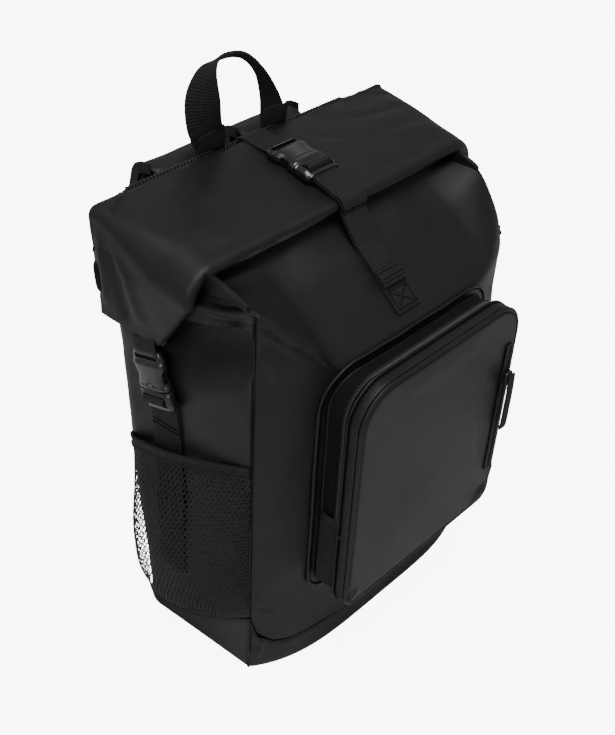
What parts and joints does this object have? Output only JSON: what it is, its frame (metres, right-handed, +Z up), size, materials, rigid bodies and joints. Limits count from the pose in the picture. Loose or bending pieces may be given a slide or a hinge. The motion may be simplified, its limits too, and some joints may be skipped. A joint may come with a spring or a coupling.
{
  "type": "rolltop backpack",
  "caption": "Soft rolltop backpack with a rolled and strapped mouth, a zipped front pocket, net side pockets and padded shoulder straps.",
  "frame": {"origin": "middle of the base, on the plane the bag stands on", "axes": "+Z up, -Y towards the front pocket, +X towards the slip pocket's zip"},
  "size_m": [0.3586, 0.2659, 0.4718],
  "materials": {
    "coated_cloth": "matt coated black woven polyester",
    "webbing": "ribbed black woven webbing",
    "air_mesh": "black spacer mesh over foam",
    "netting": "black knitted hexagonal net",
    "zip_tape": "black woven zip tape",
    "zip_coil": "black nylon coil",
    "painted_slider": "black painted zip slider",
    "buckle_plastic": "moulded charcoal plastic with a soft sheen"
  },
  "bodies": {
    "root": {"anchor_strap": "webbing", "back_panel": "air_mesh", "base_panel": "coated_cloth", "body_shell": "coated_cloth", "ear_webbing_left": "webbing", "ear_webbing_right": "webbing", "free_strap": "webbing", "grab_handle": "webbing", "net_hem_left": "webbing", "net_hem_right": "webbing", "net_pocket_left": "netting", "net_pocket_right": "netting", "pocket_flange": "coated_cloth", "pocket_front": "coated_cloth", "pocket_gusset": "coated_cloth", "pocket_pull": "webbing", "pocket_slider": "painted_slider", "pocket_zip_coil": "zip_coil", "pocket_zip_tape": "zip_tape", "roll_top": "coated_cloth", "shoulder_strap_left": "coated_cloth", "shoulder_strap_right": "coated_cloth", "side_buckle_female_left": "buckle_plastic", "side_buckle_female_right": "buckle_plastic", "side_buckle_male_left": "buckle_plastic", "side_buckle_male_right": "buckle_plastic", "side_webbing_left": "webbing", "side_webbing_right": "webbing", "slip_coil": "zip_coil", "slip_pull": "webbing", "slip_slider": "painted_slider", "slip_welt": "coated_cloth", "strap_adjuster_left": "buckle_plastic", "strap_adjuster_right": "buckle_plastic", "strap_tab_left": "webbing", "strap_tab_right": "webbing", "strap_webbing_left": "webbing", "strap_webbing_right": "webbing", "top_buckle_female": "buckle_plastic", "top_buckle_male": "buckle_plastic", "top_stub": "webbing"}
  },
  "joints": []
}
